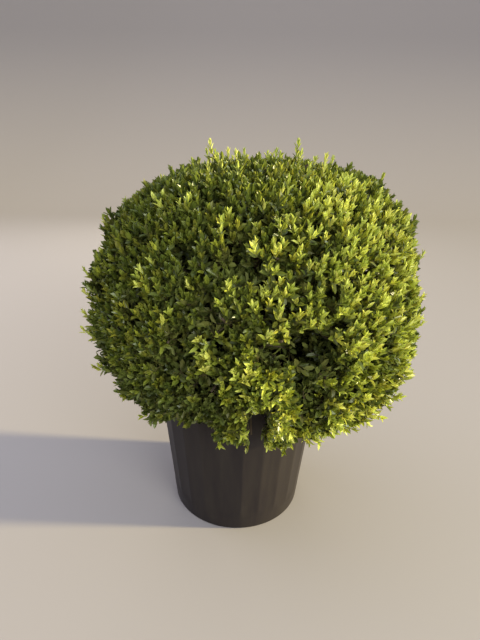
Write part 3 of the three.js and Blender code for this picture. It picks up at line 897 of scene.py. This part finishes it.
# Leaves on a shoot: distance below the tip, length, angle from the shoot, age. Pairs cross each other.
SHOOT_PAIRS = [
    (0.000, 0.013, 9, 0), (0.004, 0.020, 20, 0), (0.012, 0.023, 30, 0), (0.021, 0.023, 43, 1),
    (0.031, 0.023, 57, 2), (0.042, 0.022, 69, 3),
]
SPRIG_PAIRS = [
    (0.000, 0.012, 10, 0), (0.004, 0.016, 23, 0), (0.011, 0.019, 33, 0), (0.021, 0.020, 42, 0),
    (0.032, 0.020, 51, 1), (0.044, 0.020, 61, 2),
]
SPUR_PAIRS = [
    (0.000, 0.020, 20, 4), (0.008, 0.024, 50, 4), (0.020, 0.026, 64, 4), (0.033, 0.026, 74, 4),
    (0.046, 0.027, 80, 4), (0.062, 0.027, 84, 4), (0.078, 0.027, 86, 4),
]
BRANCHLET_PAIRS = [
    (0.004, 0.021, 40, 4), (0.014, 0.023, 58, 4), (0.026, 0.024, 70, 4), (0.040, 0.025, 78, 4),
    (0.054, 0.026, 82, 4), (0.068, 0.026, 84, 4), (0.082, 0.026, 86, 4),
]


# Corners of a blade: share of its length, of its width to one side, and of its width up.
def folded_blade(low, high, tip_up, middle):
    """From the two corners of one side, all round from foot past tip, and then the middle."""
    mirrored = [(along, -aside, up) for along, aside, up in (low, high)]
    return [(0, 0, 0), *mirrored, (1, 0, tip_up), high, low, (middle, 0, 0)]


YOUNG_BLADE = folded_blade((0.34, 0.50, 0.36), (0.73, 0.39, 0.30), -0.02, 0.54)
OLD_BLADE = folded_blade((0.38, 0.50, 0.27), (0.77, 0.41, 0.22), -0.08, 0.57)
BLADE_TIP = 3
BLADE_MIDDLE = 6
BLADE_FACES = np.array([[i, (i + 1) % BLADE_MIDDLE, BLADE_MIDDLE] for i in range(BLADE_MIDDLE)])
# The blade and its width for each age of leaf.
BLADES = np.array([YOUNG_BLADE, YOUNG_BLADE, OLD_BLADE, OLD_BLADE, OLD_BLADE])
LEAF_WIDTHS = np.array([0.31, 0.34, 0.40, 0.45, 0.46])


def leaf_pairs(curves, own, seed, pairs, age_and_shade_steps, tint, scale):
    """Every leaf of every curve: corners, mass and material. Extra age steps include painted shade."""
    index = np.arange(len(own))
    length = np.linalg.norm(curves.end - curves.start, axis=-1)
    spin = 2 * np.pi * chance(index, seed)
    corners, mass, material = [], [], []
    for level, (below, size, angle, age) in enumerate(pairs):
        part = 1 - below / np.maximum(length, SHORTEST_SHOOT)
        centre = curves.at(part)
        along = curves.heading(part)
        side, front = frame_along(along)
        older = np.clip(age + age_and_shade_steps, 0, AGES - 1)
        for opposite in (0, 1):
            roll = seed + 10 * level + opposite
            twist = LEAF_TWIST * either_way(index, roll + 1)
            turn = spin + level * np.pi / 2 + opposite * np.pi + twist
            sideways = np.cos(turn)[:, None] * side + np.sin(turn)[:, None] * front
            lean = np.radians(angle + LEAF_LEAN * either_way(index, roll + 2))
            heading = np.cos(lean)[:, None] * along + np.sin(lean)[:, None] * sideways
            heading = unit(heading + UP * LEAF_LIFT)
            across = unit(np.cross(along, sideways))
            across = unit(across - heading * (across * heading).sum(-1)[:, None])
            normal = np.cross(heading, across)
            long = (size * scale * lerp(*LEAF_LENGTHS, chance(index, roll + 3)))[:, None]
            breadth = LEAF_WIDTHS[older] * lerp(*LEAF_BREADTHS, chance(index, roll + 4))
            wide = long * breadth[:, None]
            axes = np.stack([long * heading, wide * across, wide * normal], 1)
            at = centre[:, None] + BLADES[older] @ axes
            shade = (tint + (chance(index, roll + 5) > NEXT_TINT_ABOVE)) % TINTS
            fits = leaf_may_reach(at[:, BLADE_TIP]) & leaf_may_reach(at[:, BLADE_MIDDLE])
            fits &= part > LOWEST_LEAF
            corners.append(at[fits])
            mass.append(own[fits])
            material.append((older * TINTS + shade)[fits])
    return np.concatenate(corners), np.concatenate(mass), np.concatenate(material)


def tints_for(count, seed):
    return (chance(np.arange(count), seed) * TINTS).astype(int)


def inner_leaves(curves, own, seed, pairs, tint_seed):
    count = len(own)
    return leaf_pairs(curves, own, seed, pairs, np.zeros(count, int), tints_for(count, tint_seed), 1)


# How many steps of age each shoot's leaves are past the young ones, and their tint and size. Steps
# given by place are painted shade: on the shady left, the top's left, the side towards the sun, in
# dimples and low on the left.
aged_and_shaded = TOP_AGED * calm_and_left_shade * (1 - evened) + SHADY_DARKENING * shady + SUNWARD_DARKENING * sunward
old = chance(number, 42) + CLUMP_AGED * clump > AGED_LEVEL - evened - aged_and_shaded
# Leaves deep in a dimple take the old tint, and those low on the left a step older, as painted shade.
age_and_shade_steps = np.where(flush, 0, np.where(dimple > DIMPLE_SHADE_ABOVE, 3, np.where(old, 2, 1))) + underneath_painted_shade
tint = tints_for(SHOOTS, 43)
leaf_scale = 1 + TOP_LEAF * (1 - evened) / EVEN_TOP + SHADE_LEAF * np.clip(-shoot_aims[:, 0], 0, 1)


def shoot_leaves(which, seed, pairs):
    looks = (age_and_shade_steps[which], tint[which], leaf_scale[which])
    return leaf_pairs(shoots.chosen(which), shoot_own[which], seed, pairs, *looks)


all_leaves = (
    shoot_leaves(kept & ~tall, 50, SHOOT_PAIRS),
    shoot_leaves(kept & tall, 250, SPRIG_PAIRS),
    inner_leaves(branchlets, branchlet_own, 150, BRANCHLET_PAIRS, 44),
    inner_leaves(spurs, spur_own, 350, SPUR_PAIRS, 77),
)
leaf_corners, leaf_mass, leaf_look = (np.concatenate(kinds) for kinds in zip(*all_leaves))


def blades(name, corners, looks):
    starts = np.arange(len(corners))[:, None, None] * len(YOUNG_BLADE)
    faces = (BLADE_FACES[None] + starts).reshape(-1, 3)
    face_looks = np.repeat(looks, len(BLADE_FACES))
    points = corners.reshape(-1, 3)
    return mesh_object(name, points, faces, leaf_materials, face_looks, smooth=False)


def wood_of(mass):
    """Points, triangles and materials of all the wood of a mass."""
    radius = TRUNK_TIP_RADIUS if mass == 0 else BOUGH_TIP_RADIUS
    old = [
        tubes(stems.chosen([mass]), (radius, radius * STEM_TAPER), *STEM_GRID),
        tubes(twigs.chosen(twig_own == mass), TWIG_RADII, *TWIG_GRID),
        tubes(branchlets.chosen(branchlet_own == mass), BRANCHLET_RADII, *BRANCHLET_GRID),
        tubes(spurs.chosen(spur_own == mass), SHOOT_RADII, *SPUR_GRID),
    ]
    young = tubes(shoots.chosen(kept & (shoot_own == mass)), SHOOT_RADII, *SHOOT_GRID)
    points, faces = joined([*old, young])
    looks = np.repeat([OLD_WOOD, YOUNG_WOOD], [len(faces) - len(young[1]), len(young[1])])
    return points, faces, looks


for mass, name in enumerate(MASSES):
    here = leaf_mass == mass
    leaves = blades(f"leaves_{name}", leaf_corners[here], leaf_look[here])
    points, faces, looks = wood_of(mass)
    wood = mesh_object(f"twigs_{name}", points, faces, wood_materials, looks)
    for piece, slot in ((leaves, "foliage"), (wood, "bark")):
        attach(piece, "root")
        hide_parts(f"foliage_{name}")


# Trunk and boughs, with ridges of bark.
def run_along(line):
    """How far each point of a line is from its start, along it."""
    return np.concatenate([[0], np.cumsum(np.linalg.norm(np.diff(line, axis=0), axis=-1))])


def catmull_rom(points, steps):
    """Evenly spaced places on a centripetal curve through the points."""
    points = [np.array(p) for p in points]
    ends = [2 * points[0] - points[1], *points, 2 * points[-1] - points[-2]]
    found = []
    for four in zip(ends, ends[1:], ends[2:], ends[3:]):
        times = [0.0]
        for p, q in zip(four, four[1:]):
            times.append(times[-1] + np.linalg.norm(q - p) ** 0.5)
        t = np.linspace(times[1], times[2], CURVE_STEPS, endpoint=False)[:, None]
        a = [lerp(p, q, (t - u) / (v - u)) for p, q, u, v in zip(four, four[1:], times, times[1:])]
        b = [lerp(p, q, (t - u) / (v - u)) for p, q, u, v in zip(a, a[1:], times, times[2:])]
        found.append(lerp(*b, (t - times[1]) / (times[2] - times[1])))
    found = np.concatenate([*found, [points[-1]]])
    run = run_along(found)
    even = np.linspace(0, run[-1], steps + 1)
    return np.stack([np.interp(even, run, axis) for axis in found.T], -1)


trunk_foot = MIX_TOP + CLEARANCE
trunk_tip = crown_point(MASS_DIRECTIONS[0], BOUGH_SHARE)
trunk_bends = [(x, y, lerp(trunk_foot, trunk_tip[2], share)) for share, x, y in TRUNK_BENDS]
trunk_line = catmull_rom([(0, 0, trunk_foot), *trunk_bends, trunk_tip], TRUNK_STEPS)


def trunk_at(height):
    return trunk_line[np.argmax(trunk_line[:, 2] >= height)]


def bark_ridges(line, radii, sides, seed, relief):
    """Points and triangles of a limb along a line, ridged lengthwise, with closed ends."""
    turn = turns(sides)[None]
    run = run_along(line)[:, None]
    ridge = sum(
        share * np.sin(turn * waves + RIDGE_WANDER * np.sin(run * pitch + seed + waves))
        for waves, pitch, share in BARK_RIDGES
    )
    radius = radii + relief * ridge
    points = line[:, None] + radius[..., None] * spokes(unit(np.gradient(line, axis=0)), sides)
    return points.reshape(-1, 3), limb_faces(len(line), sides)


part = np.linspace(0, 1, len(trunk_line))[:, None]
trunk_length = run_along(trunk_line)[-1]
lobes = 1 + FLARE_LOBING * np.cos(FLARE_LOBES * turns(TRUNK_SIDES))
flare = FLARE_WIDTH * np.exp(-part * trunk_length / FLARE_HEIGHT) * lobes
trunk_radii = lerp(TRUNK_FOOT_RADIUS, TRUNK_TIP_RADIUS, part) + flare
points, faces = bark_ridges(trunk_line, trunk_radii, TRUNK_SIDES, 1, TRUNK_RELIEF)
points[:TRUNK_SIDES, 2] = trunk_foot
trunk = mesh_object("trunk_bark", points, faces, [bark_material])
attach(trunk, "root")
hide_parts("trunk")


def bough(mass):
    """A bough from its fork on the trunk to its mass, rising first and then spreading."""
    foot = trunk_at(BOUGH_FORKS[mass - 1])
    tip = crown_point(MASS_DIRECTIONS[mass], BOUGH_SHARE)
    bend = lerp(foot, tip, 0.5)
    bend[2] += np.linalg.norm(tip - foot) * BOUGH_RISE
    bend = lerp(bend, np.array([tip[0], tip[1], bend[2]]), BOUGH_SPREAD)
    line = Curves(foot, bend, tip).at(np.linspace(0, 1, BOUGH_RINGS))
    radii = np.linspace(BOUGH_ROOT_RADIUS, BOUGH_TIP_RADIUS, BOUGH_RINGS)[:, None]
    return bark_ridges(line, radii, BOUGH_SIDES, mass, BOUGH_RELIEF)


all_boughs = joined([bough(mass) for mass in range(1, len(MASSES))])
boughs = mesh_object("bough_bark", *all_boughs, [bark_material])
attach(boughs, "root")
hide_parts(*[f"bough_{name}" for name in list(MASSES)[1:]])


# Pot.
def pot_profile():
    """Half a section of the pot, from the axis out along its foot, up the wall and back inside."""
    rim_foot = POT_HEIGHT - RIM_BAND
    bends = [(1 - math.sin(a), 1 - math.cos(a)) for a in np.linspace(0, np.pi / 2, ROUND_STEPS)]
    edge = [(pot_radius(POT_EDGE) - POT_EDGE * out, POT_EDGE * up) for out, up in bends]
    wall = [(pot_radius(z), z) for z in np.linspace(POT_EDGE, rim_foot, WALL_STEPS)[1:]]
    band = [(pot_radius(rim_foot) + RIM_STEP, rim_foot + RIM_ROUND / 2)]
    lip = [(POT_REACH - RIM_ROUND * up, POT_HEIGHT - RIM_ROUND * out) for out, up in bends]
    inner = [
        (pot_radius(POT_HEIGHT) - POT_WALL + RIM_ROUND / 2, POT_HEIGHT),
        (pot_radius(POT_HEIGHT) - POT_WALL, POT_HEIGHT - RIM_ROUND),
        (pot_radius(POT_FLOOR) - POT_WALL, POT_FLOOR),
    ]
    return np.array([(0.0, 0.0), *edge, *wall, *band, *lip, *inner, (0.0, POT_FLOOR)])


def lathe(profile, steps, depth_at=None):
    """Points and quads of a profile turned round Z, with its ends on the axis."""
    turn = turns(steps) - np.pi / 2 + FLUTE_TURN
    radius, height = (np.repeat(column[:, None], steps, 1) for column in profile.T)
    if depth_at is not None:
        radius = radius - depth_at(radius, height, turn[None])
    points = np.stack([radius * np.cos(turn), radius * np.sin(turn), height], -1)
    faces = np.stack(quad_corners(len(profile), steps), -1)
    return points.reshape(-1, 3), faces.reshape(-1, 4)


def flute_depth(radius, height, turn):
    """A flute is an almost flat panel between two crisp ridges, and fades at both ends."""
    on_wall = radius > pot_radius(height) - POT_WALL / 2
    across = (turn + np.pi / 2 - FLUTE_TURN) * FLUTES / np.pi % 2 - 1
    from_end = np.minimum(height - FOOT_BAND, POT_HEIGHT - RIM_BAND - height)
    share = np.clip(from_end / FLUTE_FADE, 0, 1)
    return np.where(on_wall, FLUTE_DEPTH * share * (1 - across**2), 0)


def joined_on_axis(made):
    """Closes the lathe's two ends, where all points of a row meet."""
    mesh = bmesh.new()
    mesh.from_mesh(made.data)
    bmesh.ops.remove_doubles(mesh, verts=mesh.verts, dist=SAME_POINT)
    bmesh.ops.recalc_face_normals(mesh, faces=mesh.faces)
    mesh.to_mesh(made.data)
    mesh.free()


pot = mesh_object("pot_shell", *lathe(pot_profile(), POT_STEPS, flute_depth), [pot_material])
joined_on_axis(pot)
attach(pot, "root")
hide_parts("pot")


# Potting mix: a crumbly top on a filled pot.
def mix_profile():
    wall = POT_WALL + CLEARANCE
    low = POT_FLOOR + CLEARANCE
    edge = MIX_TOP - MIX_EDGE
    side = [(0.0, low), (pot_radius(low) - wall, low), (pot_radius(edge) - wall, edge)]
    top_radius = pot_radius(MIX_TOP) - wall - 2 * MIX_EDGE
    return np.array([*side, *[(r, MIX_TOP) for r in np.linspace(top_radius, 0, MIX_RINGS)]])


def crumbs_at(x, y):
    """Waves that bend each other, from -1 to 1."""
    return sum(
        share * np.sin(x * pitch + np.cos(y * pitch * 0.9) * 2)
        * np.sin(y * pitch * 1.1 + 3 * np.sin(x * pitch * 0.7))
        for pitch, share in CRUMBS
    )


points, faces = lathe(mix_profile(), MIX_STEPS)
loose = points[:, 2] > MIX_TOP - MIX_EDGE / 2
points[:, 2] -= np.where(loose, CRUMB_DEPTH * (1 + crumbs_at(*points[:, :2].T)), 0)
mix = mesh_object("mix_surface", points, faces, [mix_material])
joined_on_axis(mix)
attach(mix, "root")
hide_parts("potting_mix")

# Studio: a pale floor that sweeps up behind, a warm low sun from the right as the key light, soft
# lights in front, on the left and behind, and a soft sky.
FLOOR_FRONT = -6.0
FLOOR_BACK = 5.0
FLOOR_SIDE = 12.0
SWEEP_RADIUS = 2.5
SWEEP_TOP = 8.0
SWEEP_STEPS = 16
TARGET = Vector((0.03, 0.0, 0.6))
SKY_COLOUR = (0.84, 0.90, 1.16, 1)
SKY_STRENGTH = 0.70


def sweep():
    """Points and quads of the floor and its sweep."""
    bends = [(math.sin(a), 1 - math.cos(a)) for a in np.linspace(0, math.pi / 2, SWEEP_STEPS)[1:]]
    run = [
        (FLOOR_FRONT, 0.0),
        (FLOOR_BACK, 0.0),
        *[(FLOOR_BACK + SWEEP_RADIUS * out, SWEEP_RADIUS * up) for out, up in bends],
        (FLOOR_BACK + SWEEP_RADIUS, SWEEP_TOP),
    ]
    points = [(x, y, z) for y, z in run for x in (-FLOOR_SIDE, FLOOR_SIDE)]
    faces = [[2 * i, 2 * i + 1, 2 * i + 3, 2 * i + 2] for i in range(len(run) - 1)]
    return np.array(points), np.array(faces)


floor = mesh_object("floor", *sweep(), [floor_material])


def add_light(name, kind, place, way, power, colour):
    """A light at a place that shines along a way."""
    light = bpy.data.lights.new(name, kind)
    light.energy = power
    light.color = colour
    made = add_object(name, light)
    made.location = place
    made.rotation_mode = "QUATERNION"
    made.rotation_quaternion = way.to_track_quat("-Z", "Y")
    return light


def area_light(name, azimuth, elevation, distance, size, power, colour):
    place = Vector(direction_at(azimuth, elevation) * distance) + TARGET
    light = add_light(name, "AREA", place, TARGET - place, power, colour)
    light.shape = "DISK"
    light.size = size


def sun_light(name, azimuth, elevation, spread, power, colour):
    way = -Vector(direction_at(azimuth, elevation))
    light = add_light(name, "SUN", (0, 0, 0), way, power, colour)
    light.angle = math.radians(spread)


sun_light("key", 88.5, 15.5, spread=4, power=6.1, colour=(1.0, 0.86, 0.48))
area_light("soft_front", 32, 20, distance=4.5, size=3.0, power=116, colour=(0.97, 0.99, 1.0))
area_light("soft_left", -112, 25, distance=5.0, size=4.0, power=56, colour=(0.94, 0.96, 1.34))
area_light("soft_back", 190, 24, distance=4.5, size=3.0, power=42, colour=(1.0, 0.97, 0.92))

scene = bpy.context.scene
scene.world = bpy.data.worlds.new("soft_sky")
scene.world.use_nodes = True
sky = scene.world.node_tree.nodes["Background"]
sky.inputs["Color"].default_value = SKY_COLOUR
sky.inputs["Strength"].default_value = SKY_STRENGTH
scene.view_settings.view_transform = "Standard"
scene.view_settings.exposure = 0.0

# Camera.
lens = bpy.data.cameras.new("camera")
lens.sensor_width = SENSOR
lens.lens = FOCAL_PIXELS / IMAGE_HEIGHT * SENSOR
camera = add_object("camera", lens)
scene.camera = camera
up = np.array([0, math.sin(CAMERA_PITCH_DOWN), math.cos(CAMERA_PITCH_DOWN)])
back = np.array([0, -math.cos(CAMERA_PITCH_DOWN), math.sin(CAMERA_PITCH_DOWN)])
rolled_right = math.cos(CAMERA_ROLL) * RIGHT + math.sin(CAMERA_ROLL) * up
rolled_up = math.cos(CAMERA_ROLL) * up - math.sin(CAMERA_ROLL) * RIGHT
axes = Matrix([rolled_right, rolled_up, back]).transposed().to_4x4()
camera.matrix_world = Matrix.Translation(CAMERA_PLACE) @ axes
